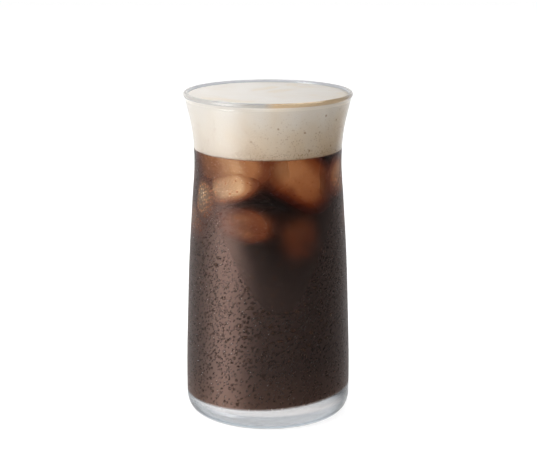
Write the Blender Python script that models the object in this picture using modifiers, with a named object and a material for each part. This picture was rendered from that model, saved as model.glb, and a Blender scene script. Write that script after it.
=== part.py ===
"""Iced americano in its glass: a flared tumbler, the coffee in it and the crema on top.

Metres, +Z up, the origin at the middle of the foot. Every solid is turned about +Z. The floor of
the glass then leans a little sideways, as a pressed floor does, and the coffee follows it.
"""

from math import cos, hypot, pi, radians, sin, tan

import bmesh
import bpy

COLLECTION_NAME = "iced_americano"

# Outside of the glass
GLASS_HEIGHT = 0.1514
RIM_RADIUS = 0.0390
LIP_ROUND = 0.00115
LIP_START = 0.1478
WALL_STATIONS = (
    (0.0072, 0.0388),
    (0.0240, 0.0387),
    (0.0500, 0.0379),
    (0.0750, 0.0369),
    (0.1000, 0.0353),
    (0.1190, 0.0341),
    (0.1340, 0.0351),
    (LIP_START, 0.0381),
)

# Foot
FOOT_ROUND_WIDTH = 0.0038
FOOT_ROUND_HEIGHT = WALL_STATIONS[0][0]
FOOT_RADIUS = WALL_STATIONS[0][1] - FOOT_ROUND_WIDTH
PUNT_RADIUS = 0.0270
PUNT_DEPTH = 0.0010

# Inside of the glass
WALL = 0.0016
FLOOR_HEIGHT = 0.0094
FLOOR_CORNER = 0.0032
FLOOR_TILT = radians(3.0)
FLOOR_TILT_REACH = 0.022

# Contents
GAP = 0.0003
COFFEE_LEVEL = 0.1254
CREMA_LEVEL = 0.1502
CREMA_CROWN = 0.0004
CREMA_EDGE_ROUND = 0.0006

# Fineness of the facets
TURN_STEPS = 60
OUTER_WALL_POINTS = 16
INNER_WALL_POINTS = 14
COFFEE_SIDE_POINTS = 12
CREMA_SIDE_POINTS = 6
MERGE_DISTANCE = 0.00001


def clear_scene():
    """Remove what a new file opens with."""
    for thing in list(bpy.data.objects):
        bpy.data.objects.remove(thing, do_unlink=True)


def smooth_step(value):
    """Rise from 0 to 1 with a level start and a level end."""
    value = min(max(value, 0.0), 1.0)
    return value * value * (3.0 - 2.0 * value)


def spaced(first, last, count):
    """Give count values from first to last, both included."""
    return [first + (last - first) * step / (count - 1) for step in range(count)]


def station_slope(index):
    """Slope of the wall at one station, from its neighbours."""
    below = WALL_STATIONS[max(index - 1, 0)]
    above = WALL_STATIONS[min(index + 1, len(WALL_STATIONS) - 1)]
    return (above[1] - below[1]) / (above[0] - below[0])


def outer_radius(height):
    """Outer radius of the wall: one smooth curve through the stations."""
    index = 0
    while index < len(WALL_STATIONS) - 2 and height > WALL_STATIONS[index + 1][0]:
        index += 1
    low, high = WALL_STATIONS[index], WALL_STATIONS[index + 1]
    span = high[0] - low[0]
    t = (height - low[0]) / span
    blend = t * t * (3.0 - 2.0 * t)
    leave = t * (1.0 - t) * (1.0 - t) * span * station_slope(index)
    arrive = t * t * (t - 1.0) * span * station_slope(index + 1)
    return low[1] + (high[1] - low[1]) * blend + leave + arrive


def inner_radius(height):
    """Inner radius of the wall, which runs straight up inside the lip."""
    return outer_radius(min(height, LIP_START)) - WALL


def arc(centre, width, height, first, last, count):
    """Points (radius, height) along an elliptical arc; the angles are in degrees."""
    points = []
    for angle in spaced(radians(first), radians(last), count):
        points.append((centre[0] + width * cos(angle), centre[1] + height * sin(angle)))
    return points


def inner_wall(low, high, count, clearance):
    """Points (radius, height) up or down the inner wall, held clear of it."""
    return [(inner_radius(height) - clearance, height) for height in spaced(low, high, count)]


def glass_profile():
    """Half section of the glass: floor, inner wall, lip, outer wall, foot and punt."""
    corner_height = FLOOR_HEIGHT + FLOOR_CORNER
    corner_centre = (inner_radius(corner_height) - FLOOR_CORNER, corner_height)
    lip_centre = (RIM_RADIUS - LIP_ROUND, GLASS_HEIGHT - LIP_ROUND)
    foot_centre = (FOOT_RADIUS, FOOT_ROUND_HEIGHT)
    floor = [(0.0, FLOOR_HEIGHT), (corner_centre[0] * 0.5, FLOOR_HEIGHT)]
    corner = arc(corner_centre, FLOOR_CORNER, FLOOR_CORNER, -90, 0, 5)
    inside = inner_wall(corner_height, LIP_START, INNER_WALL_POINTS, 0.0)[1:]
    lip = arc(lip_centre, LIP_ROUND, LIP_ROUND, 180, -45, 11)
    outside = [(outer_radius(height), height)
               for height in spaced(LIP_START, FOOT_ROUND_HEIGHT, OUTER_WALL_POINTS)]
    foot = arc(foot_centre, FOOT_ROUND_WIDTH, FOOT_ROUND_HEIGHT, 0, -90, 7)[1:]
    punt = [(PUNT_RADIUS, 0.0), (PUNT_RADIUS * 0.8, PUNT_DEPTH * 0.8), (0.0, PUNT_DEPTH)]
    return floor + corner + inside + lip + outside + foot + punt


def coffee_profile():
    """Half section of the coffee: top, side and the bottom that follows the floor."""
    bottom = FLOOR_HEIGHT + GAP
    corner = FLOOR_CORNER
    corner_centre = (inner_radius(bottom + corner) - GAP - corner, bottom + corner)
    side = inner_wall(COFFEE_LEVEL - GAP * 0.5, corner_centre[1], COFFEE_SIDE_POINTS, GAP)
    top = [(0.0, side[0][1]), (side[0][0] * 0.5, side[0][1])]
    round_corner = arc(corner_centre, corner, corner, 0, -90, 5)[1:]
    floor = [(corner_centre[0] * 0.5, bottom), (0.0, bottom)]
    return top + side + round_corner + floor


def crema_profile():
    """Half section of the crema: a low crown, a rounded edge, the flared side and the bottom."""
    edge_height = CREMA_LEVEL - CREMA_EDGE_ROUND
    edge_centre = (inner_radius(edge_height) - GAP - CREMA_EDGE_ROUND, edge_height)
    crown = [(edge_centre[0] * share, CREMA_LEVEL + CREMA_CROWN * (1.0 - share * share))
             for share in (0.0, 0.4, 0.75)]
    edge = arc(edge_centre, CREMA_EDGE_ROUND, CREMA_EDGE_ROUND, 90, 0, 3)
    side = inner_wall(edge_height, COFFEE_LEVEL + GAP * 0.5, CREMA_SIDE_POINTS, GAP)[1:]
    bottom = [(side[-1][0] * 0.5, side[-1][1]), (0.0, side[-1][1])]
    return crown + edge + side + bottom


def floor_lift(x, height):
    """How far the leaning floor lifts a point of the inside."""
    reach = (height - FLOOR_HEIGHT) / FLOOR_TILT_REACH
    return tan(FLOOR_TILT) * x * (1.0 - smooth_step(reach))


def lean_floor(mesh):
    """Lean the floor, and whatever of the mesh lies on it, towards -X."""
    for vertex in mesh.vertices:
        x, y, height = vertex.co
        above_floor = height > FLOOR_HEIGHT - GAP
        inside = hypot(x, y) < outer_radius(max(height, FOOT_ROUND_HEIGHT)) - WALL * 0.5
        if above_floor and inside:
            vertex.co.z += floor_lift(x, height)
    mesh.update()


def turned_mesh(name, profile):
    """Turn a profile of (radius, height) points about +Z into one closed mesh."""
    outline = bpy.data.meshes.new(name + "_outline")
    vertices = [(radius, 0.0, height) for radius, height in profile]
    edges = [(index, index + 1) for index in range(len(profile) - 1)]
    outline.from_pydata(vertices, edges, [])
    guide = bpy.data.objects.new(name + "_outline", outline)
    bpy.context.scene.collection.objects.link(guide)
    screw = guide.modifiers.new("turn", "SCREW")
    screw.axis = "Z"
    screw.angle = 2.0 * pi
    screw.steps = TURN_STEPS
    screw.render_steps = TURN_STEPS
    screw.use_merge_vertices = True
    screw.merge_threshold = MERGE_DISTANCE
    evaluated = guide.evaluated_get(bpy.context.evaluated_depsgraph_get())
    mesh = bpy.data.meshes.new_from_object(evaluated)
    bpy.data.objects.remove(guide, do_unlink=True)
    mesh.name = name
    return mesh


def join_poles(mesh):
    """Make the points on the axis single points."""
    work = bmesh.new()
    work.from_mesh(mesh)
    bmesh.ops.remove_doubles(work, verts=work.verts, dist=MERGE_DISTANCE)
    bmesh.ops.recalc_face_normals(work, faces=work.faces)
    work.to_mesh(mesh)
    work.free()


def add_solid(name, profile, material, collection):
    """Make one named sub-part from its half section."""
    mesh = turned_mesh(name, profile)
    join_poles(mesh)
    lean_floor(mesh)
    mesh.shade_smooth()
    mesh.set_sharp_from_angle(angle=radians(40))
    mesh.materials.clear()
    mesh.materials.append(material)
    solid = bpy.data.objects.new(name, mesh)
    collection.objects.link(solid)
    return solid


def principled(name, colour, roughness, transmission=0.0, ior=1.5):
    """A Principled material of one colour."""
    material = bpy.data.materials.new(name)
    material.use_nodes = True
    shader = material.node_tree.nodes["Principled BSDF"]
    shader.inputs["Base Color"].default_value = (*colour, 1.0)
    shader.inputs["Roughness"].default_value = roughness
    shader.inputs["Metallic"].default_value = 0.0
    shader.inputs["Transmission Weight"].default_value = transmission
    shader.inputs["IOR"].default_value = ior
    material.diffuse_color = (*colour, 1.0)
    return material


def build():
    """Build the glass and what is in it."""
    clear_scene()
    collection = bpy.data.collections.new(COLLECTION_NAME)
    bpy.context.scene.collection.children.link(collection)
    clear_glass = principled("clear_glass", (0.93, 0.95, 0.95), 0.03, transmission=1.0, ior=1.5)
    dark_coffee = principled("dark_coffee", (0.045, 0.016, 0.008), 0.08, ior=1.34)
    beige_crema = principled("beige_crema", (0.66, 0.53, 0.40), 0.55, ior=1.34)
    add_solid("glass", glass_profile(), clear_glass, collection)
    add_solid("coffee", coffee_profile(), dark_coffee, collection)
    add_solid("crema", crema_profile(), beige_crema, collection)


build()
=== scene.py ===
"""Looks of the iced americano: clear glass, dark coffee with ice, marbled crema, condensation.

Metres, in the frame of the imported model: +Z up, the middle of the foot at the origin, the viewer
at -Y. Turned forms are worked out from the same named sizes as the solids.
"""

from collections import namedtuple
from math import cos, pi, radians, sin, tan

import bpy
import numpy as np
from mathutils import Euler, Matrix, Vector, noise


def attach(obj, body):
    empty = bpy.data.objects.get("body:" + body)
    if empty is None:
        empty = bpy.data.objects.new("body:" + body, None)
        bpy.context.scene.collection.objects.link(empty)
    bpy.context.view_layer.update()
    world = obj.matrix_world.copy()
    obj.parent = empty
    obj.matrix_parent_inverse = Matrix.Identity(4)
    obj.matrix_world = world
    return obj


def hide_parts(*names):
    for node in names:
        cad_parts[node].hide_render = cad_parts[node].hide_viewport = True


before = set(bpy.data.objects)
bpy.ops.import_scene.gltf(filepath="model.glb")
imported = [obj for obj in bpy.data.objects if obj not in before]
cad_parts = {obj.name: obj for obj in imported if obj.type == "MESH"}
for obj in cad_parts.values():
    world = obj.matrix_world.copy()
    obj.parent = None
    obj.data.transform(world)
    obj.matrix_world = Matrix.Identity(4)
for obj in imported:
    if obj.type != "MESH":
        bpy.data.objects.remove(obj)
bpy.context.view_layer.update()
BODY = "root"

# The photograph's camera
FRAME_WIDTH = 537.0
FOCAL_PIXELS = 1400.0
GLASS_AXIS_PIXEL = 268.0
SENSOR_WIDTH = 36.0
CAMERA_DISTANCE = 0.638
CAMERA_HEIGHT = 0.246
CAMERA_PITCH = radians(13.89)

# Outside of the glass
GLASS_HEIGHT = 0.1514
RIM_RADIUS = 0.0390
LIP_ROUND = 0.00115
LIP_START = 0.1478
WALL_STATIONS = (
    (0.0072, 0.0388),
    (0.0240, 0.0387),
    (0.0500, 0.0379),
    (0.0750, 0.0369),
    (0.1000, 0.0353),
    (0.1190, 0.0341),
    (0.1340, 0.0351),
    (LIP_START, 0.0381),
)

# Foot
FOOT_ROUND_WIDTH = 0.0038
FOOT_ROUND_HEIGHT = WALL_STATIONS[0][0]
FOOT_RADIUS = WALL_STATIONS[0][1] - FOOT_ROUND_WIDTH
PUNT_RADIUS = 0.0270
PUNT_DEPTH = 0.0010
PUNT_EDGE_WIDTH = 0.0008
PUNT_EDGE_HEIGHT = 0.0002

# Inside of the glass and its contents
WALL = 0.0016
FLOOR_HEIGHT = 0.0094
FLOOR_CORNER = 0.0032
FLOOR_TILT = radians(3.0)
FLOOR_TILT_REACH = 0.022
FLOOR_LOWEST = FLOOR_HEIGHT - tan(FLOOR_TILT) * RIM_RADIUS
COFFEE_LEVEL = 0.1254
CREMA_LEVEL = 0.1502
CREMA_CROWN = 0.0004
CREMA_EDGE_ROUND = 0.0006

# How far the contents reach into what they touch, so that no air gap shows
INTO_WALL = 0.0004
INTO_WALL_AT_TOP = 0.0001
INTO_FLOOR = 0.00005
INTO_COFFEE = 0.0002

GLASS_IOR = 1.5
WATER_IOR = 1.33

TURN_STEPS = 192


def smooth_step(value):
    """Rise from 0 to 1 with a level start and a level end."""
    value = np.clip(value, 0.0, 1.0)
    return value * value * (3.0 - 2.0 * value)


def spaced(first, last, count):
    """Give count values from first to last, both included."""
    return [first + (last - first) * step / (count - 1) for step in range(count)]


def station_slope(index):
    """Slope of the wall at one station, from its neighbours."""
    below = WALL_STATIONS[max(index - 1, 0)]
    above = WALL_STATIONS[min(index + 1, len(WALL_STATIONS) - 1)]
    return (above[1] - below[1]) / (above[0] - below[0])


def outer_radius(height):
    """Outer radius of the wall: one smooth curve through the stations."""
    index = 0
    while index < len(WALL_STATIONS) - 2 and height > WALL_STATIONS[index + 1][0]:
        index += 1
    low, high = WALL_STATIONS[index], WALL_STATIONS[index + 1]
    span = high[0] - low[0]
    t = (height - low[0]) / span
    blend = t * t * (3.0 - 2.0 * t)
    leave = t * (1.0 - t) * (1.0 - t) * span * station_slope(index)
    arrive = t * t * (t - 1.0) * span * station_slope(index + 1)
    return low[1] + (high[1] - low[1]) * blend + leave + arrive


def inner_radius(height):
    """Inner radius of the wall, which runs straight up inside the lip."""
    return outer_radius(min(height, LIP_START)) - WALL


WALL_HEIGHTS = np.linspace(FOOT_ROUND_HEIGHT, LIP_START, 600)
WALL_RADII = np.array([outer_radius(height) for height in WALL_HEIGHTS])


def wall_radii(heights):
    """Outer radii of the wall at many heights."""
    return np.interp(heights, WALL_HEIGHTS, WALL_RADII)


def arc(centre, width, height, first, last, count):
    """Points (radius, height) along an elliptical arc; the angles are in degrees."""
    points = []
    for angle in spaced(radians(first), radians(last), count):
        points.append((centre[0] + width * cos(angle), centre[1] + height * sin(angle)))
    return points


def levels_with_coffee(low, high, count):
    """Heights from low to high with the coffee's own level among them."""
    return sorted(spaced(low, high, count) + [COFFEE_LEVEL])


def glass_profile():
    """Half section of the glass: floor, inner wall, lip, outer wall, foot and punt."""
    corner_height = FLOOR_HEIGHT + FLOOR_CORNER
    corner_centre = (inner_radius(corner_height) - FLOOR_CORNER, corner_height)
    lip_centre = (RIM_RADIUS - LIP_ROUND, GLASS_HEIGHT - LIP_ROUND)
    floor = [(radius, FLOOR_HEIGHT) for radius in spaced(0.0, corner_centre[0], 6)[:-1]]
    corner = arc(corner_centre, FLOOR_CORNER, FLOOR_CORNER, -90, 0, 10)
    inside = [(inner_radius(height), height)
              for height in levels_with_coffee(corner_height, LIP_START, 40)][1:]
    lip = arc(lip_centre, LIP_ROUND, LIP_ROUND, 180, -45, 21)
    outside = [(outer_radius(height), height)
               for height in reversed(levels_with_coffee(FOOT_ROUND_HEIGHT, LIP_START, 48))]
    foot = arc((FOOT_RADIUS, FOOT_ROUND_HEIGHT), FOOT_ROUND_WIDTH, FOOT_ROUND_HEIGHT, 0, -90, 16)[1:]
    punt = [(PUNT_RADIUS + PUNT_EDGE_WIDTH, 0.0), (PUNT_RADIUS, PUNT_EDGE_HEIGHT),
            (PUNT_RADIUS * 0.93, PUNT_DEPTH * 0.7), (PUNT_RADIUS * 0.7, PUNT_DEPTH),
            (PUNT_RADIUS * 0.35, PUNT_DEPTH), (0.0, PUNT_DEPTH)]
    return floor + corner + inside + lip + outside + foot + punt


def coffee_profile():
    """Half section of the coffee, which reaches just into the wall and the floor."""
    bottom = FLOOR_HEIGHT - INTO_FLOOR
    corner = FLOOR_CORNER
    corner_centre = (inner_radius(bottom + corner) + INTO_WALL - corner, bottom + corner)
    side = [(inner_radius(height) + INTO_WALL, height)
            for height in spaced(COFFEE_LEVEL, corner_centre[1], 40)]
    top = [(radius, COFFEE_LEVEL) for radius in spaced(0.0, side[0][0], 6)[:-1]]
    round_corner = arc(corner_centre, corner, corner, 0, -90, 10)[1:]
    floor = [(radius, bottom) for radius in spaced(corner_centre[0], 0.0, 6)][1:]
    return top + side + round_corner + floor


def crema_profile():
    """Half section of the crema, which reaches just into the wall."""
    edge = inner_radius(CREMA_LEVEL) + INTO_WALL_AT_TOP
    crown = [(edge * share, CREMA_LEVEL + CREMA_CROWN * (1.0 - share * share))
             for share in spaced(0.0, 1.0, 24)]
    side = [(inner_radius(height) + INTO_WALL, height)
            for height in spaced(CREMA_LEVEL - CREMA_EDGE_ROUND, COFFEE_LEVEL - INTO_COFFEE, 24)]
    bottom = [(side[-1][0] * 0.5, side[-1][1]), (0.0, side[-1][1])]
    return crown + side + bottom


def lean_floor(points):
    """Lean the floor of the glass, and what lies on it, towards -X."""
    x, y, height = points.T
    reach = (height - FLOOR_HEIGHT) / FLOOR_TILT_REACH
    inside = np.hypot(x, y) < wall_radii(height) - WALL * 0.5
    lifted = inside & (height > FLOOR_HEIGHT - 2.0 * INTO_FLOOR)
    points[:, 2] += np.where(lifted, tan(FLOOR_TILT) * x * (1.0 - smooth_step(reach)), 0.0)


def mesh_object(name, points, faces):
    """Link a smooth-shaded mesh object made of points and faces."""
    mesh = bpy.data.meshes.new(name)
    mesh.from_pydata(points, [], faces)
    mesh.validate()
    mesh.shade_smooth()
    piece = bpy.data.objects.new(name, mesh)
    bpy.context.scene.collection.objects.link(piece)
    return piece


def turned_points(profile, steps):
    """Points and faces of a profile turned about +Z, each end on the axis."""
    rings = np.array(profile[1:-1])
    angles = np.arange(steps) * 2.0 * pi / steps
    x = np.outer(rings[:, 0], np.cos(angles)).ravel()
    y = np.outer(rings[:, 0], np.sin(angles)).ravel()
    z = np.repeat(rings[:, 1], steps)
    points = np.column_stack([x, y, z])
    points = np.vstack([points, (0.0, 0.0, profile[0][1]), (0.0, 0.0, profile[-1][1])])
    first, last = len(points) - 2, len(points) - 1
    faces = []
    for ring in range(len(rings) - 1):
        for step in range(steps):
            after = (step + 1) % steps
            low, high = ring * steps, (ring + 1) * steps
            faces.append((low + step, high + step, high + after, low + after))
    end = (len(rings) - 1) * steps
    for step in range(steps):
        after = (step + 1) % steps
        faces.append((first, step, after))
        faces.append((last, end + after, end + step))
    return points, faces


def turned_piece(name, profile):
    """One piece turned about +Z, with the floor leaning."""
    points, faces = turned_points(profile, TURN_STEPS)
    lean_floor(points)
    return mesh_object(name, points, faces)


def keep(piece, material, replaced=None):
    """Give a piece its material and its body."""
    piece.data.materials.append(material)
    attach(piece, BODY)
    if replaced:
        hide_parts(replaced)
    return piece


def new_material(name):
    """A material, its node tree and its shader."""
    material = bpy.data.materials.new(name)
    material.use_nodes = True
    tree = material.node_tree
    return material, tree, tree.nodes["Principled BSDF"]


def clear_material(name, ior, roughness=0.0):
    """A clear material."""
    material, _, shader = new_material(name)
    shader.inputs["Base Color"].default_value = (1.0, 1.0, 1.0, 1.0)
    shader.inputs["Roughness"].default_value = roughness
    shader.inputs["IOR"].default_value = ior
    shader.inputs["Transmission Weight"].default_value = 1.0
    return material


COFFEE_TINT = (0.54, 0.27, 0.05, 1.0)
COFFEE_DENSITY = 650.0


def coffee_material():
    """Coffee: clear at a millimetre, amber at a few, black beyond. Its wall bends the light."""
    material = clear_material("iced_coffee", 1.0)
    tree = material.node_tree
    absorb = tree.nodes.new("ShaderNodeVolumeAbsorption")
    absorb.inputs["Color"].default_value = COFFEE_TINT
    absorb.inputs["Density"].default_value = COFFEE_DENSITY
    tree.links.new(absorb.outputs[0], tree.nodes["Material Output"].inputs["Volume"])
    return material


def link_node(tree, kind, inputs, **settings):
    """Add a node with its settings; each input is a value or another node's output."""
    node = tree.nodes.new(kind)
    for name, value in settings.items():
        setattr(node, name, value)
    for name, value in inputs.items():
        if isinstance(value, bpy.types.NodeSocket):
            tree.links.new(value, node.inputs[name])
        else:
            node.inputs[name].default_value = value
    return node


def colour_ramp(tree, factor, colours, interpolation="LINEAR"):
    """Colour for a factor, from a list of (place, colour)."""
    node = link_node(tree, "ShaderNodeValToRGB", {"Fac": factor})
    node.color_ramp.interpolation = interpolation
    stops = node.color_ramp.elements
    while len(stops) < len(colours):
        stops.new(0.5)
    for stop, (place, colour) in zip(stops, colours):
        stop.position = place
        stop.color = (*colour, 1.0)
    return node.outputs["Color"]


def math_node(tree, operation, first, second):
    """One sum on two values or outputs."""
    return link_node(tree, "ShaderNodeMath", {0: first, 1: second}, operation=operation).outputs[0]


def ranged(tree, value, low, high, to_low=0.0, to_high=1.0):
    """Map a value from one range to another, held within it."""
    inputs = {"Value": value, "From Min": low, "From Max": high, "To Min": to_low, "To Max": to_high}
    return link_node(tree, "ShaderNodeMapRange", inputs).outputs["Result"]


def mixed(tree, factor, first, second):
    """Blend from a first colour to a second."""
    inputs = {"Factor": factor, "A": first, "B": second}
    return link_node(tree, "ShaderNodeMix", inputs, data_type="RGBA").outputs["Result"]


# Crema: how high in the layer, colour; its lower part is golden, where coffee drains from it
CREMA_COLOURS = (
    (0.0, (0.66, 0.49, 0.30)),
    (0.35, (0.76, 0.62, 0.45)),
    (0.70, (0.80, 0.71, 0.59)),
    (1.0, (0.82, 0.76, 0.68)),
)
CREMA_TOP_COLOURS = (
    (0.35, (0.83, 0.79, 0.74)),
    (0.55, (0.81, 0.76, 0.70)),
    (0.66, (0.80, 0.72, 0.61)),
    (0.80, (0.84, 0.81, 0.77)),
)
# Painted shade on the foam's top: how bright it is at the left and at the right
CREMA_TOP_PAINTED_SHADE = (1.06, 0.84)
PIT_COLOUR = (0.38, 0.22, 0.11, 1.0)
# Painted light: the pale colour that the foam's side takes towards the left, where the light falls
CREMA_PAINTED_LIGHT = (0.86, 0.83, 0.78, 1.0)
# Layers of pinholes: cells per metre, share of cells left whole, radius in cells, depth, and up to
# which share of the layer's height they lie
PIT_LAYERS = (
    (430.0, 0.80, 0.33, 0.85, 1.2),
    (1000.0, 0.55, 0.36, 0.60, 0.9),
    (1500.0, 0.35, 0.45, 1.0, 0.16),
)


def pits(tree, place, level):
    """Pinholes: how deep each place lies in one, in some random cells, from 0 to 1."""
    total = 0.0
    for scale, rare, radius, depth, highest in PIT_LAYERS:
        cells = link_node(tree, "ShaderNodeTexVoronoi", {"Vector": place, "Scale": scale})
        low_enough = ranged(tree, level, highest, highest * 0.6)
        found = math_node(tree, "GREATER_THAN", cells.outputs["Color"], rare)
        chosen = math_node(tree, "MULTIPLY", found, low_enough)
        hole = ranged(tree, cells.outputs["Distance"], radius, radius * 0.4, 0.0, depth)
        total = math_node(tree, "MAXIMUM", total, math_node(tree, "MULTIPLY", chosen, hole))
    return total


def crema_side(tree, place, axes, level):
    """Colour of the foam's side: golden where it is low, and paler at the left from painted light."""
    clouds = link_node(tree, "ShaderNodeTexNoise", {"Vector": place, "Scale": 55.0, "Detail": 4.0})
    shift = ranged(tree, clouds.outputs["Fac"], 0.3, 0.7, -0.32, 0.32)
    golden = colour_ramp(tree, math_node(tree, "ADD", level, shift), CREMA_COLOURS)
    # Painted light: the side grows paler towards the left
    painted_light_at_left = ranged(tree, axes["X"], 0.004, -0.028, 0.0, 0.62)
    return mixed(tree, painted_light_at_left, golden, CREMA_PAINTED_LIGHT)


def crema_top(tree, place, axes):
    """Colour of the foam's top: marbled, and darker towards the right from painted shade."""
    swirl = link_node(tree, "ShaderNodeTexNoise",
                      {"Vector": place, "Scale": 26.0, "Detail": 2.0, "Distortion": 2.2})
    marbled = colour_ramp(tree, swirl.outputs["Fac"], CREMA_TOP_COLOURS)
    # Painted shade: the top darkens towards the right
    shade = ranged(tree, axes["X"], -0.030, 0.034, *CREMA_TOP_PAINTED_SHADE)
    shaded = link_node(tree, "ShaderNodeVectorMath", {0: marbled, 1: shade}, operation="MULTIPLY")
    return shaded.outputs[0]


def crema_holes(tree, place, axes, level):
    """Pinholes of the foam: more at the right, and none at its upper edge or on top."""
    towards_right = ranged(tree, axes["X"], -0.020, 0.016, 0.35, 1.0)
    below_edge = ranged(tree, axes["Z"], CREMA_LEVEL - 0.0045, CREMA_LEVEL - 0.0025, 1.0, 0.0)
    pitted_part = math_node(tree, "MULTIPLY", towards_right, below_edge)
    return math_node(tree, "MULTIPLY", pits(tree, place, level), pitted_part)


def crema_material():
    """Fine foam: golden below, pale above, marbled on top, with pinholes; painted light makes its side
    paler at the left and painted shade darkens its top at the right.
    """
    material, tree, shader = new_material("crema_foam")
    place = tree.nodes.new("ShaderNodeTexCoord").outputs["Object"]
    axes = link_node(tree, "ShaderNodeSeparateXYZ", {"Vector": place}).outputs
    level = ranged(tree, axes["Z"], COFFEE_LEVEL, CREMA_LEVEL)
    on_top = math_node(tree, "GREATER_THAN", axes["Z"], CREMA_LEVEL - 0.00005)
    foam = mixed(tree, on_top, crema_side(tree, place, axes, level), crema_top(tree, place, axes))
    holes = crema_holes(tree, place, axes, level)
    tree.links.new(mixed(tree, holes, foam, PIT_COLOUR), shader.inputs["Base Color"])
    fine = link_node(tree, "ShaderNodeTexNoise", {"Vector": place, "Scale": 900.0, "Detail": 2.0})
    relief = math_node(tree, "SUBTRACT", math_node(tree, "MULTIPLY", fine.outputs["Fac"], 0.3), holes)
    bump = link_node(tree, "ShaderNodeBump", {"Height": relief, "Strength": 0.35, "Distance": 0.0003})
    tree.links.new(bump.outputs["Normal"], shader.inputs["Normal"])
    shader.inputs["Roughness"].default_value = 0.6
    return material


# Colours of the ice's painted glow, an emission, from its faint edge to its bright middle: how bright,
# colour
ICE_PAINTED_GLOW_COLOURS = (
    (0.0, (0.04, 0.011, 0.004)),
    (0.35, (0.26, 0.10, 0.045)),
    (0.65, (0.72, 0.47, 0.27)),
    (1.0, (1.30, 1.25, 0.98)),
)
ICE_SOLID_FROM = 0.3


def ice_material():
    """Cloudy ice with a painted glow: emission that stands in for the light it carries from above; how
    much is held on its points.
    """
    material, tree, shader = new_material("painted_glow_ice")
    shader.inputs["Base Color"].default_value = (0.06, 0.05, 0.04, 1.0)
    shader.inputs["Roughness"].default_value = 0.5
    # Painted glow: the ice emits light, though it is no lamp
    shader.inputs["Emission Strength"].default_value = 1.25
    glow = tree.nodes.new("ShaderNodeAttribute")
    glow.attribute_name = "glow"
    colour = colour_ramp(tree, glow.outputs["Fac"], ICE_PAINTED_GLOW_COLOURS, "EASE")
    tree.links.new(colour, shader.inputs["Emission Color"])
    tree.links.new(ranged(tree, glow.outputs["Fac"], 0.0, ICE_SOLID_FROM), shader.inputs["Alpha"])
    return material


DROP_TINT = (0.62, 0.38, 0.27)
FINE_DROP_TINT = (0.95, 0.94, 0.93)


def water_material(name, tint, glint):
    """Water on the wall, tinted by the dark drink that it gathers from behind."""
    material = clear_material(name, WATER_IOR)
    shader = material.node_tree.nodes["Principled BSDF"]
    shader.inputs["Base Color"].default_value = (*tint, 1.0)
    shader.inputs["Specular Tint"].default_value = (0.3, 0.3, 0.3, 1.0)
    shader.inputs["Transmission Weight"].default_value = 0.965
    shader.inputs["Coat Weight"].default_value = glint
    shader.inputs["Coat Roughness"].default_value = 0.05
    shader.inputs["Coat IOR"].default_value = 1.6
    return material


# Mist: height over the leaning floor as a share of its reach, colour; painted light: pale only before
# the foot, brighter and warmer just above the floor where light enters the coffee from below, darker
# higher up
MIST_COLOUR_REACH = 0.030
MIST_PAINTED_LIGHT_COLOURS = (
    (0.32, (0.50, 0.56, 0.62)),
    (0.37, (0.050, 0.029, 0.022)),
    (0.95, (0.023, 0.017, 0.016)),
)


def mist_material():
    """Fog of tiny droplets: a thin skin with clear windows where drops have gathered it."""
    material, tree, shader = new_material("condensation_mist")
    shader.inputs["Roughness"].default_value = 0.5
    shader.inputs["IOR"].default_value = 1.5
    shader.inputs["Specular IOR Level"].default_value = 1.0
    shader.inputs["Specular Tint"].default_value = (1.0, 0.62, 0.50, 1.0)
    place = tree.nodes.new("ShaderNodeTexCoord").outputs["Object"]
    axes = link_node(tree, "ShaderNodeSeparateXYZ", {"Vector": place}).outputs
    lean = math_node(tree, "MULTIPLY", axes["X"], tan(FLOOR_TILT))
    above_floor = math_node(tree, "SUBTRACT", axes["Z"], lean)
    # Painted light: the mist's colour by its height over the floor
    colour = colour_ramp(tree, ranged(tree, above_floor, 0.0, MIST_COLOUR_REACH), MIST_PAINTED_LIGHT_COLOURS)
    tree.links.new(colour, shader.inputs["Base Color"])
    cover = tree.nodes.new("ShaderNodeAttribute")
    cover.attribute_name = "cover"
    tree.links.new(cover.outputs["Fac"], shader.inputs["Alpha"])
    return material


# A cube: degrees from the front, middle height, depth behind the wall, sizes, turns, how bright its
# painted glow is
Cube = namedtuple("Cube", "azimuth height depth wide tall thick turn glow")
FRONT_ICE = (
    Cube(-35.5, 0.1105, 0.0018, 0.0340, 0.0170, 0.018, (-8.0, -22.0, 0.0), 1.0),
    Cube(-38.0, 0.1210, 0.0014, 0.0450, 0.0270, 0.016, (6.0, -4.0, 0.0), 0.80),
    Cube(32.0, 0.1170, 0.0034, 0.0500, 0.0290, 0.020, (4.0, 40.0, 0.0), 0.95),
    Cube(-63.0, 0.1035, 0.0005, 0.0160, 0.0240, 0.016, (0.0, 8.0, 10.0), 0.85),
    Cube(-22.0, 0.0950, 0.0016, 0.0350, 0.0190, 0.018, (0.0, 3.0, -6.0), 0.50),
    Cube(27.0, 0.0885, 0.0014, 0.0260, 0.0290, 0.018, (0.0, -15.0, 0.0), 0.20),
)
# Cubes round the sides and the back: how many, from which azimuth, over how many degrees, the
# heights of their two layers, and the seed of their random sizes and turns
ICE_BEHIND = 12
ICE_BEHIND_FROM = 78.0
ICE_BEHIND_SPAN = 204.0
ICE_LAYERS = (0.1150, 0.0960)
ICE_SEED = 3
# Form of every cube: cuts of a side, roundness, unevenness, and how it bends along the wall
ICE_CUTS = 20
ICE_ROUNDNESS = 4.0
ICE_UNEVEN = 0.07
ICE_BEND = 13.0
# Place of every cube: how far it stays under the crema, and the search for its distance from the axis
ICE_BELOW_CREMA = 0.0006
ICE_FIRST_DISTANCE = 0.03
ICE_FIT_ROUNDS = 8
# Painted glow of every cube: how square its bright middle is, where it ends and how softly, and its
# clouds
GLOW_SQUARENESS = 2.4
GLOW_END = 1.20
GLOW_SOFT = 0.90
CLOUD_SCALE = 90.0
CLOUD_STRENGTH = 0.3
CLOUD_SEED = 50


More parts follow.
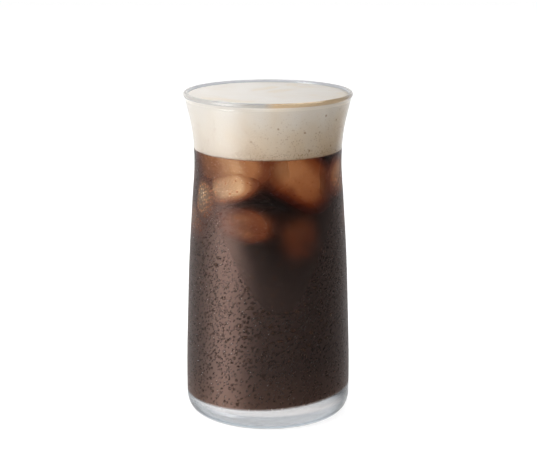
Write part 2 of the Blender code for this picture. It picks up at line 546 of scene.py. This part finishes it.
def cube_grid(cuts):
    """Points and faces of a cube of half size 1 about the origin, each side cut into a grid."""
    steps = np.linspace(-1.0, 1.0, cuts + 1)
    index_of = {}
    points, faces = [], []
    for axis in range(3):
        for side in (-1.0, 1.0):
            grid = {}
            for i, a in enumerate(steps):
                for j, b in enumerate(steps):
                    point = [0.0, 0.0, 0.0]
                    point[axis] = side
                    point[(axis + 1) % 3] = a
                    point[(axis + 2) % 3] = b
                    key = tuple(round(value, 6) for value in point)
                    if key not in index_of:
                        index_of[key] = len(points)
                        points.append(point)
                    grid[i, j] = index_of[key]
            for i in range(cuts):
                for j in range(cuts):
                    face = (grid[i, j], grid[i + 1, j], grid[i + 1, j + 1], grid[i, j + 1])
                    faces.append(face if side > 0.0 else face[::-1])
    return np.array(points), faces


def uneven(points, scale, seed):
    """A smooth random value, about -1 to 1, at each point."""
    offset = Vector((seed * 3.1, seed * 1.7, seed * 2.3))
    return np.array([noise.fractal(Vector(point) * scale + offset, 1.0, 2.0, 3) for point in points])


def ice_cube(seed, cube):
    """One melted cube in the coffee, its nearest point at a given depth behind the wall."""
    points, faces = cube_grid(ICE_CUTS)
    bulge = np.sum(np.abs(points) ** ICE_ROUNDNESS, axis=1) ** (-1.0 / ICE_ROUNDNESS)
    points = points * bulge[:, None]
    points *= 1.0 + ICE_UNEVEN * uneven(points, 1.1, seed)[:, None]
    points *= (cube.wide * 0.5, cube.thick * 0.5, cube.tall * 0.5)
    brightness = cube.glow * painted_ice_glow(points, cube, seed)
    points = points @ np.array(Euler([radians(angle) for angle in cube.turn]).to_matrix()).T
    points[:, 1] += ICE_BEND * points[:, 0] ** 2
    points[:, 2] = np.minimum(points[:, 2] + cube.height, COFFEE_LEVEL - ICE_BELOW_CREMA)
    room = wall_radii(points[:, 2]) - WALL - cube.depth
    distance = ICE_FIRST_DISTANCE
    for _ in range(ICE_FIT_ROUNDS):
        distance -= np.max(np.hypot(points[:, 0], points[:, 1] - distance) - room)
    points[:, 1] -= distance
    turned = points @ np.array(Matrix.Rotation(radians(cube.azimuth), 3, "Z")).T
    piece = mesh_object("ice_" + str(seed), turned, faces)
    layer = piece.data.attributes.new("glow", "FLOAT", "POINT")
    layer.data.foreach_set("value", brightness)
    return piece


def painted_ice_glow(points, cube, seed):
    """How brightly each point of a cube glows with painted light: cloudy in the middle, clear at its
    edges.
    """
    across = points[:, 0] / (cube.wide * 0.5)
    up = points[:, 2] / (cube.tall * 0.5)
    power = GLOW_SQUARENESS
    from_middle = (np.abs(across) ** power + np.abs(up) ** power) ** (1.0 / power)
    cloud = 1.0 + CLOUD_STRENGTH * uneven(points, CLOUD_SCALE, seed + CLOUD_SEED)
    return smooth_step((GLOW_END - from_middle) / GLOW_SOFT) * cloud


def ice_behind(random):
    """Cubes round the sides and the back, in two rough layers."""
    cubes = []
    for index in range(ICE_BEHIND):
        share = (index + random.uniform(0.2, 0.8)) / ICE_BEHIND
        azimuth = ICE_BEHIND_FROM + ICE_BEHIND_SPAN * share
        height = ICE_LAYERS[index % len(ICE_LAYERS)] + random.uniform(-0.004, 0.004)
        sizes = (random.uniform(0.026, 0.032), random.uniform(0.018, 0.026), 0.018)
        turn = (random.uniform(-8.0, 8.0), random.uniform(-30.0, 30.0), 0.0)
        depth = random.uniform(0.0006, 0.0020)
        glow = random.uniform(0.7, 1.0)
        cubes.append(Cube(azimuth, height, depth, *sizes, turn, glow))
    return cubes


# Condensation: where the veil of mist begins and ends, and how fine its mesh is
WALL_RADIUS = 0.037
MIST_LOW = 0.0050
MIST_HIGH = COFFEE_LEVEL + 0.0002
MIST_OFFSET = 0.00003
MIST_AROUND = 450
MIST_UP = 220
# Thickness of the mist: thin before the foot, full over it, and thin again above its own top
MIST_COVER = 0.85
MIST_FOOT_HIGH = 0.0103
MIST_FOOT_SOFT = 0.0020
MIST_FOOT_COVER = 0.22
MIST_TOP = 0.130
MIST_TOP_SOFT = 0.024
MIST_LEAST = 0.20
# Tongues where the veil has run off: azimuth, half width (degrees), how far down (metres)
CLEAR_TONGUES = ((8.0, 44.0, 0.056), (134.0, 34.0, 0.045), (-124.0, 30.0, 0.040))
# What drops leave of the mist: in a hole, whose edge lies a little outside the drop, or as a thin spot
HOLE_COVER = 0.14
HOLE_MARGIN = 0.00008
HOLE_EDGE_FROM = 0.85
HOLE_EDGE_WIDTH = 0.35
HOLE_REACH = 1.6
FINE_COVER = 0.5

# A drop's place, half sizes and tilt
Drop = namedtuple("Drop", "angle height wide tall tilt")
# A kind of scattered drop: how many, radii, heights, how stretched, how common on the clear wall
Scatter = namedtuple("Scatter", "count radii heights stretch bare")
MEDIUM_SCATTER = Scatter(3400, (0.00026, 0.00050), (0.0120, 0.116), 0.4, 0.45)
FINE_SCATTER = Scatter(6500, (0.00013, 0.00024), (MIST_LOW, MIST_HIGH + 0.001), 0.2, 0.9)
# How a kind of drop is made: corners and rings, how uneven its outline, how steep its dome
Form = namedtuple("Form", "corners rings roughness rise")
LARGE_FORM = Form(18, 4, 0.45, 0.26)
MEDIUM_FORM = Form(9, 2, 0.25, 0.32)
FINE_FORM = Form(6, 2, 0.15, 0.50)
DROP_SINK = 0.00004
DROP_LIFT_MOST = 0.00019
DROP_RIM_ANGLE = radians(60.0)
# Where drops lie: they keep apart, are mostly small and level, and are fewer near the foot
DROPS_SEED = 7
DROP_TRIES = 8
DROP_CELL = 0.004
DROP_SPACING = 1.30
SMALL_DROPS_POWER = 1.7
UPRIGHT_DROPS_SHARE = 0.18
DROP_TILT_SPREAD = 0.35
FEW_DROPS_HIGH = 0.03
FEW_DROPS_SHARE = 0.5
# Long drops about the lower end of each tongue, and beads at the foam's lower edge
LONG_DROPS = 90
LONG_DROPS_ASIDE = 0.55
LONG_DROPS_UP = 0.014
LONG_DROPS_DOWN = 0.036
LONG_DROPS_WIDE = (0.0006, 0.0014)
EDGE_BEADS = 380
EDGE_BEADS_RADII = (0.00014, 0.00032)
EDGE_BEADS_SPREAD = 0.00022


def veil(angles, heights):
    """How thick the mist is over the wall, from 0 to 1, without its holes."""
    top = MIST_TOP
    for azimuth, half_width, depth in CLEAR_TONGUES:
        apart = np.degrees(angles) - azimuth
        apart = (apart + 180.0) % 360.0 - 180.0
        top = top - depth * np.exp(-((apart / half_width) ** 2))
    below_top = smooth_step((top - heights) / MIST_TOP_SOFT * 0.5 + 0.5)
    edge = MIST_FOOT_HIGH + tan(FLOOR_TILT) * WALL_RADIUS * np.sin(angles)
    above_floor = smooth_step((heights - edge) / MIST_FOOT_SOFT + 0.5)
    over_foot = smooth_step((heights - MIST_LOW) / MIST_FOOT_SOFT)
    foot = MIST_FOOT_COVER + (1.0 - MIST_FOOT_COVER) * above_floor
    return (MIST_LEAST + (1.0 - MIST_LEAST) * below_top) * foot * over_foot


def drop_shape(random, angle, height, radius, stretch):
    """A drop of a given size, longer than it is tall, mostly lying level."""
    wide = radius * (1.0 + stretch * random.random() ** 2)
    tall = radius * random.uniform(0.65, 0.95)
    tilt = random.normal(0.0, DROP_TILT_SPREAD)
    if random.random() < UPRIGHT_DROPS_SHARE:
        tilt += pi / 2.0
    return Drop(angle, height, wide, tall, tilt)


def has_room(taken, drop):
    """Whether a drop keeps clear of those already there; if so, its place is taken."""
    around = drop.angle * WALL_RADIUS
    column, row = int(around // DROP_CELL), int(drop.height // DROP_CELL)
    near = [other for i in (-1, 0, 1) for j in (-1, 0, 1)
            for other in taken.get((column + i, row + j), ())]
    room = all((around - x) ** 2 + (drop.height - z) ** 2 > (DROP_SPACING * (drop.wide + reach)) ** 2
               for x, z, reach in near)
    if room:
        taken.setdefault((column, row), []).append((around, drop.height, drop.wide))
    return room


def scatter_drops(random, taken, scatter):
    """Drops that keep clear of those already there, fewer near the foot and where the veil is thin."""
    drops = []
    smallest, largest = scatter.radii
    for _ in range(scatter.count * DROP_TRIES):
        if len(drops) == scatter.count:
            break
        height = random.uniform(*scatter.heights)
        angle = random.uniform(-pi, pi)
        radius = smallest + (largest - smallest) * random.random() ** SMALL_DROPS_POWER
        near_foot = smooth_step((height - MIST_FOOT_HIGH) / FEW_DROPS_HIGH)
        wanted = FEW_DROPS_SHARE + (1.0 - FEW_DROPS_SHARE) * near_foot
        wanted *= scatter.bare + (1.0 - scatter.bare) * veil(angle, height)
        if random.random() > wanted:
            continue
        drop = drop_shape(random, angle, height, radius, scatter.stretch)
        if has_room(taken, drop):
            drops.append(drop)
    return drops


def long_drops(random, taken):
    """Long level drops where a tongue of run-off water ends."""
    drops = []
    for azimuth, half_width, depth in CLEAR_TONGUES:
        for _ in range(LONG_DROPS):
            angle = radians(azimuth + random.normal(0.0, LONG_DROPS_ASIDE) * half_width)
            height = MIST_TOP - depth - random.uniform(-LONG_DROPS_UP, LONG_DROPS_DOWN)
            wide = random.uniform(*LONG_DROPS_WIDE)
            drop = Drop(angle, height, wide, wide * random.uniform(0.45, 0.75), random.normal(0.0, 0.2))
            if has_room(taken, drop):
                drops.append(drop)
    return drops


def edge_beads(random):
    """A row of beads where the crema meets the coffee."""
    beads = []
    for index in range(EDGE_BEADS):
        angle = (index + random.uniform(-0.4, 0.4)) * 2.0 * pi / EDGE_BEADS - pi
        radius = random.uniform(*EDGE_BEADS_RADII)
        height = COFFEE_LEVEL + random.normal(0.0, EDGE_BEADS_SPREAD)
        beads.append(Drop(angle, height, radius, radius, 0.0))
    return beads


def drop_points(random, drop, form):
    """Points of one drop: rings that close in as they rise off the wall, then its top."""
    turns = np.arange(form.corners) * 2.0 * pi / form.corners
    outline = np.ones(form.corners)
    for wave in (2, 3, 4):
        swing = form.roughness / wave * random.uniform(-1.0, 1.0)
        outline += swing * np.cos(wave * turns + random.uniform(0.0, 2.0 * pi))
    lift = min(form.rise * drop.tall, DROP_LIFT_MOST)
    points = []
    for ring in range(form.rings + 1):
        share = 1.0 - ring / form.rings
        level = (1.0 - share * share) * (lift + DROP_SINK) - DROP_SINK
        across = drop.wide * share * outline * np.cos(turns)
        up = drop.tall * share * outline * np.sin(turns)
        along = across * cos(drop.tilt) - up * sin(drop.tilt)
        heights = drop.height + up * cos(drop.tilt) + across * sin(drop.tilt)
        radii = wall_radii(heights) + level
        angles = drop.angle + along / radii
        ring_points = np.column_stack([radii * np.sin(angles), -radii * np.cos(angles), heights])
        points.append(ring_points if ring < form.rings else ring_points[:1])
    return np.vstack(points)


def drop_faces(start, corners, rings):
    """Faces of one drop whose points start at a given index."""
    faces = [tuple(start + corner for corner in reversed(range(corners)))]
    for ring in range(rings - 1):
        low, high = start + ring * corners, start + (ring + 1) * corners
        for corner in range(corners):
            after = (corner + 1) % corners
            faces.append((low + corner, low + after, high + after, high + corner))
    last, top = start + (rings - 1) * corners, start + rings * corners
    faces.extend((last + corner, last + (corner + 1) % corners, top) for corner in range(corners))
    return faces


def drops_piece(name, random, drops, form):
    """Many drops on the wall as one mesh: closed low domes sunk a little into the glass."""
    points, faces = [], []
    count = form.corners * form.rings + 1
    for index, drop in enumerate(drops):
        points.append(drop_points(random, drop, form))
        faces.extend(drop_faces(index * count, form.corners, form.rings))
    piece = mesh_object(name, np.vstack(points), faces)
    piece.data.set_sharp_from_angle(angle=DROP_RIM_ANGLE)
    return piece


def cut_holes(cover, angles, heights, drops):
    """Clear the mist under each drop."""
    step_round, step_up = angles[1] - angles[0], heights[1] - heights[0]
    for drop in drops:
        row, column = (drop.height - heights[0]) / step_up, (drop.angle - angles[0]) / step_round
        reach = HOLE_REACH * max(drop.wide, drop.tall)
        reach_up, reach_round = reach / step_up, reach / WALL_RADIUS / step_round
        first_row, last_row = max(0, int(row - reach_up)), min(MIST_UP, int(row + reach_up) + 1)
        rows = np.arange(first_row, last_row + 1)
        columns = np.arange(int(column - reach_round), int(column + reach_round) + 2)
        up = (rows - row)[:, None] * step_up
        across = (columns - column)[None, :] * step_round * WALL_RADIUS
        u = across * cos(drop.tilt) + up * sin(drop.tilt)
        v = up * cos(drop.tilt) - across * sin(drop.tilt)
        from_middle = np.hypot(u / (drop.wide + HOLE_MARGIN), v / (drop.tall + HOLE_MARGIN))
        outside = smooth_step((from_middle - HOLE_EDGE_FROM) / HOLE_EDGE_WIDTH)
        left = HOLE_COVER + (1.0 - HOLE_COVER) * outside
        block = np.ix_(rows, columns % MIST_AROUND)
        cover[block] = np.minimum(cover[block], left)


def thin_under(cover, angles, heights, drops):
    """Thin the mist at the point nearest to each drop that is too fine for a hole."""
    for drop in drops:
        row = round((drop.height - heights[0]) / (heights[1] - heights[0]))
        column = round((drop.angle - angles[0]) / (angles[1] - angles[0]))
        cover[min(row, MIST_UP), column % MIST_AROUND] *= FINE_COVER


def mist_piece(drops, fine_drops):
    """Shell of mist just outside the wall; its cover is held on its points."""
    heights = np.linspace(MIST_LOW, MIST_HIGH, MIST_UP + 1)
    angles = np.arange(MIST_AROUND) * 2.0 * pi / MIST_AROUND - pi
    cover = np.ones((MIST_UP + 1, MIST_AROUND))
    cut_holes(cover, angles, heights, drops)
    thin_under(cover, angles, heights, fine_drops)
    cover *= veil(angles[None, :], heights[:, None]) * MIST_COVER
    radii = wall_radii(heights) + MIST_OFFSET
    x = np.outer(radii, np.sin(angles)).ravel()
    y = -np.outer(radii, np.cos(angles)).ravel()
    z = np.repeat(heights, MIST_AROUND)
    faces = []
    for i in range(MIST_UP):
        for j in range(MIST_AROUND):
            after = (j + 1) % MIST_AROUND
            low, high = i * MIST_AROUND, (i + 1) * MIST_AROUND
            faces.append((low + j, low + after, high + after, high + j))
    piece = mesh_object("mist", np.column_stack([x, y, z]), faces)
    layer = piece.data.attributes.new("cover", "FLOAT", "POINT")
    layer.data.foreach_set("value", cover.ravel())
    return piece


TOP_LIGHT_PLACE = (0.0, 0.15, 1.10)
TOP_LIGHT_SIZE = 1.0
TOP_LIGHT_POWER = 6.5


def add_top_light():
    """A wide soft light above, a little behind the glass, that faces its foot."""
    data = bpy.data.lights.new("top", "AREA")
    data.shape = "SQUARE"
    data.size = TOP_LIGHT_SIZE
    data.energy = TOP_LIGHT_POWER
    light = bpy.data.objects.new("top", data)
    light.location = TOP_LIGHT_PLACE
    to_foot = -Vector(TOP_LIGHT_PLACE)
    light.rotation_euler = to_foot.to_track_quat("-Z", "Y").to_euler()
    bpy.context.scene.collection.objects.link(light)


# The softbox at the left: middle (x, y), sizes, strength in its middle
SOFTBOX_PLACE = (-0.69, -0.40)
SOFTBOX_WIDTH = 0.95
SOFTBOX_LOW = -0.5
SOFTBOX_HIGH = 0.9
SOFTBOX_STRENGTH = 7.2
SOFTBOX_STEPS = 24


def add_softbox():
    """A tall light at the left, bright in the middle and fading to its sides."""
    facing = Vector((-SOFTBOX_PLACE[1], SOFTBOX_PLACE[0], 0.0)).normalized()
    points, faces, strengths = [], [], []
    for step in range(SOFTBOX_STEPS + 1):
        share = step / SOFTBOX_STEPS
        offset = facing * SOFTBOX_WIDTH * (share - 0.5)
        for height in (SOFTBOX_LOW, SOFTBOX_HIGH):
            points.append((SOFTBOX_PLACE[0] + offset.x, SOFTBOX_PLACE[1] + offset.y, height))
            strengths.append(SOFTBOX_STRENGTH * sin(pi * share) ** 2)
        if step:
            faces.append((2 * step - 2, 2 * step - 1, 2 * step + 1, 2 * step))
    softbox = mesh_object("softbox", points, faces)
    layer = softbox.data.attributes.new("strength", "FLOAT", "POINT")
    layer.data.foreach_set("value", strengths)
    softbox.data.materials.append(softbox_material())
    softbox.visible_camera = False


def softbox_material():
    """White light whose strength is held on the points."""
    material = bpy.data.materials.new("softbox_light")
    material.use_nodes = True
    tree = material.node_tree
    tree.nodes.remove(tree.nodes["Principled BSDF"])
    light = tree.nodes.new("ShaderNodeEmission")
    strength = tree.nodes.new("ShaderNodeAttribute")
    strength.attribute_name = "strength"
    tree.links.new(strength.outputs["Fac"], light.inputs["Strength"])
    tree.links.new(light.outputs[0], tree.nodes["Material Output"].inputs["Surface"])
    return material


def add_world():
    """White behind, dim in front and dark at the sides, but plain white for the camera."""
    world = bpy.data.worlds.new("surround")
    bpy.context.scene.world = world
    world.use_nodes = True
    tree = world.node_tree
    direction = tree.nodes.new("ShaderNodeTexCoord").outputs["Generated"]
    axes = link_node(tree, "ShaderNodeSeparateXYZ", {"Vector": direction}).outputs
    from_behind = ranged(tree, axes["Y"], -0.3, 0.7, 0.18, 1.0)
    sideways = math_node(tree, "ABSOLUTE", axes["X"], 0.0)
    not_beside = ranged(tree, sideways, 0.55, 0.80, 1.0, 0.42)
    not_above = ranged(tree, axes["Z"], 0.25, 0.65, 1.0, 0.25)
    open_part = math_node(tree, "MULTIPLY", not_beside, not_above)
    strength = math_node(tree, "MULTIPLY", from_behind, open_part)
    seen = tree.nodes.new("ShaderNodeLightPath").outputs["Is Camera Ray"]
    background = tree.nodes["Background"]
    tree.links.new(math_node(tree, "MAXIMUM", strength, seen), background.inputs["Strength"])
    background.inputs["Color"].default_value = (1.0, 1.0, 1.0, 1.0)


FLOOR_RADIUS = 4.0
FLOOR_CORNERS = 96
FLOOR_LEVEL = -0.0001


def add_floor():
    """A wide plain white floor."""
    angles = [step * 2.0 * pi / FLOOR_CORNERS for step in range(FLOOR_CORNERS)]
    points = [(FLOOR_RADIUS * cos(angle), FLOOR_RADIUS * sin(angle), FLOOR_LEVEL) for angle in angles]
    floor = mesh_object("floor", points, [tuple(range(FLOOR_CORNERS))])
    material, _, shader = new_material("white_floor")
    shader.inputs["Base Color"].default_value = (0.4, 0.4, 0.4, 1.0)
    shader.inputs["Roughness"].default_value = 0.6
    shader.inputs["Emission Color"].default_value = (1.0, 1.0, 1.0, 1.0)
    shader.inputs["Emission Strength"].default_value = 0.85
    floor.data.materials.append(material)
    floor.visible_glossy = False


def add_camera():
    """The photograph's camera."""
    data = bpy.data.cameras.new("camera")
    data.sensor_fit = "HORIZONTAL"
    data.sensor_width = SENSOR_WIDTH
    data.lens = FOCAL_PIXELS / FRAME_WIDTH * SENSOR_WIDTH
    data.shift_x = (FRAME_WIDTH * 0.5 - GLASS_AXIS_PIXEL) / FRAME_WIDTH
    camera = bpy.data.objects.new("camera", data)
    camera.location = (0.0, -CAMERA_DISTANCE, CAMERA_HEIGHT)
    camera.rotation_euler = (pi / 2.0 - CAMERA_PITCH, 0.0, 0.0)
    bpy.context.scene.collection.objects.link(camera)
    bpy.context.scene.camera = camera


# Painted light on the lip: grey, and amber at the front right
LIP_PAINTED_LIGHT_COLOURS = ((0.0, (0.46, 0.47, 0.49)), (1.0, (0.68, 0.47, 0.26)))
# Painted shade: the grey-blue tint of the foot
FOOT_PAINTED_SHADE_TINT = (0.62, 0.69, 0.76)
LIP_FACES_ABOVE = GLASS_HEIGHT - 2.0 * LIP_ROUND


def lip_material():
    """Lip glass with painted light: grey, and amber where light comes up the wall from the drink at the
    right.
    """
    material = clear_material("lip_glass", GLASS_IOR)
    tree = material.node_tree
    place = tree.nodes.new("ShaderNodeTexCoord").outputs["Object"]
    axes = link_node(tree, "ShaderNodeSeparateXYZ", {"Vector": place}).outputs
    towards_right = ranged(tree, axes["X"], -0.002, 0.003)
    at_front = ranged(tree, axes["Y"], -0.008, -0.024)
    # Painted light: amber at the front right of the lip
    amber = math_node(tree, "MULTIPLY", towards_right, at_front)
    colour = colour_ramp(tree, amber, LIP_PAINTED_LIGHT_COLOURS)
    tree.links.new(colour, tree.nodes["Principled BSDF"].inputs["Base Color"])
    return material


def unlit_glass(name):
    """Glass that shows no sharp reflection, as under fine dew."""
    material = clear_material(name, GLASS_IOR)
    shader = material.node_tree.nodes["Principled BSDF"]
    shader.inputs["Specular Tint"].default_value = (0.0, 0.0, 0.0, 1.0)
    return material


def cold_material():
    """The wall before the crema, whose dew blurs what it reflects."""
    material = unlit_glass("cold_glass")
    shader = material.node_tree.nodes["Principled BSDF"]
    shader.inputs["Coat Weight"].default_value = 1.0
    shader.inputs["Coat Roughness"].default_value = 0.6
    shader.inputs["Coat IOR"].default_value = 1.75
    return material


def foot_material():
    """The thick foot, a little grey from painted shade and a little uneven."""
    material = clear_material("foot_glass", GLASS_IOR, roughness=0.18)
    material.node_tree.nodes["Principled BSDF"].inputs["Base Color"].default_value = (*FOOT_PAINTED_SHADE_TINT, 1.0)
    return material


def glass_materials():
    """The glass's materials by the kind of face that has them."""
    return {
        "dry": clear_material("clear_glass", GLASS_IOR),
        "wetted": clear_material("wetted_glass", GLASS_IOR / WATER_IOR, roughness=0.1),
        "dewed": unlit_glass("dewed_glass"),
        "cold": cold_material(),
        "lip": lip_material(),
        "foot": foot_material(),
    }


def glass_face_kind(centre):
    """Kind of a face of the glass, by where it is."""
    x, y, height = centre
    inside = (x * x + y * y) ** 0.5 < float(wall_radii(height)) - WALL * 0.5
    if height > LIP_FACES_ABOVE:
        return "lip"
    if inside and FLOOR_LOWEST < height < COFFEE_LEVEL:
        return "wetted"
    if height < FOOT_ROUND_HEIGHT:
        return "foot"
    if inside or height > LIP_START:
        return "dry"
    return "dewed" if height < COFFEE_LEVEL else "cold"


def add_glass():
    """The glass, each kind of face with its own material."""
    materials = glass_materials()
    glass = keep(turned_piece("glass_body", glass_profile()), materials["dry"], "glass")
    kinds = list(materials)
    for kind in kinds[1:]:
        glass.data.materials.append(materials[kind])
    for face in glass.data.polygons:
        face.material_index = kinds.index(glass_face_kind(face.center))
    glass.visible_shadow = False


def add_ice():
    """Melting cubes in the upper third of the coffee, each with a painted glow."""
    painted_glow_ice = ice_material()
    cubes = list(FRONT_ICE) + ice_behind(np.random.default_rng(ICE_SEED))
    for index, cube in enumerate(cubes):
        keep(ice_cube(index + 1, cube), painted_glow_ice)


def add_condensation():
    """Drops in three sizes and the veil that they break."""
    random = np.random.default_rng(DROPS_SEED)
    taken = {}
    large = long_drops(random, taken)
    medium = scatter_drops(random, taken, MEDIUM_SCATTER) + edge_beads(random)
    fine = scatter_drops(random, taken, FINE_SCATTER)
    pooled = water_material("pooled_drops", DROP_TINT, 0.0)
    glinting = water_material("fine_drops", FINE_DROP_TINT, 1.0)
    pieces = [
        keep(drops_piece("drops_large", random, large, LARGE_FORM), pooled),
        keep(drops_piece("drops_medium", random, medium, MEDIUM_FORM), pooled),
        keep(drops_piece("drops_fine", random, fine, FINE_FORM), glinting),
        keep(mist_piece(large + medium, fine), mist_material()),
    ]
    for piece in pieces:
        piece.visible_shadow = False


add_camera()
add_world()
add_softbox()
add_top_light()
add_floor()
bpy.context.scene.view_settings.view_transform = "Standard"
add_glass()
keep(turned_piece("coffee_body", coffee_profile()), coffee_material(), "coffee")
keep(turned_piece("crema_head", crema_profile()), crema_material(), "crema")
add_ice()
add_condensation()
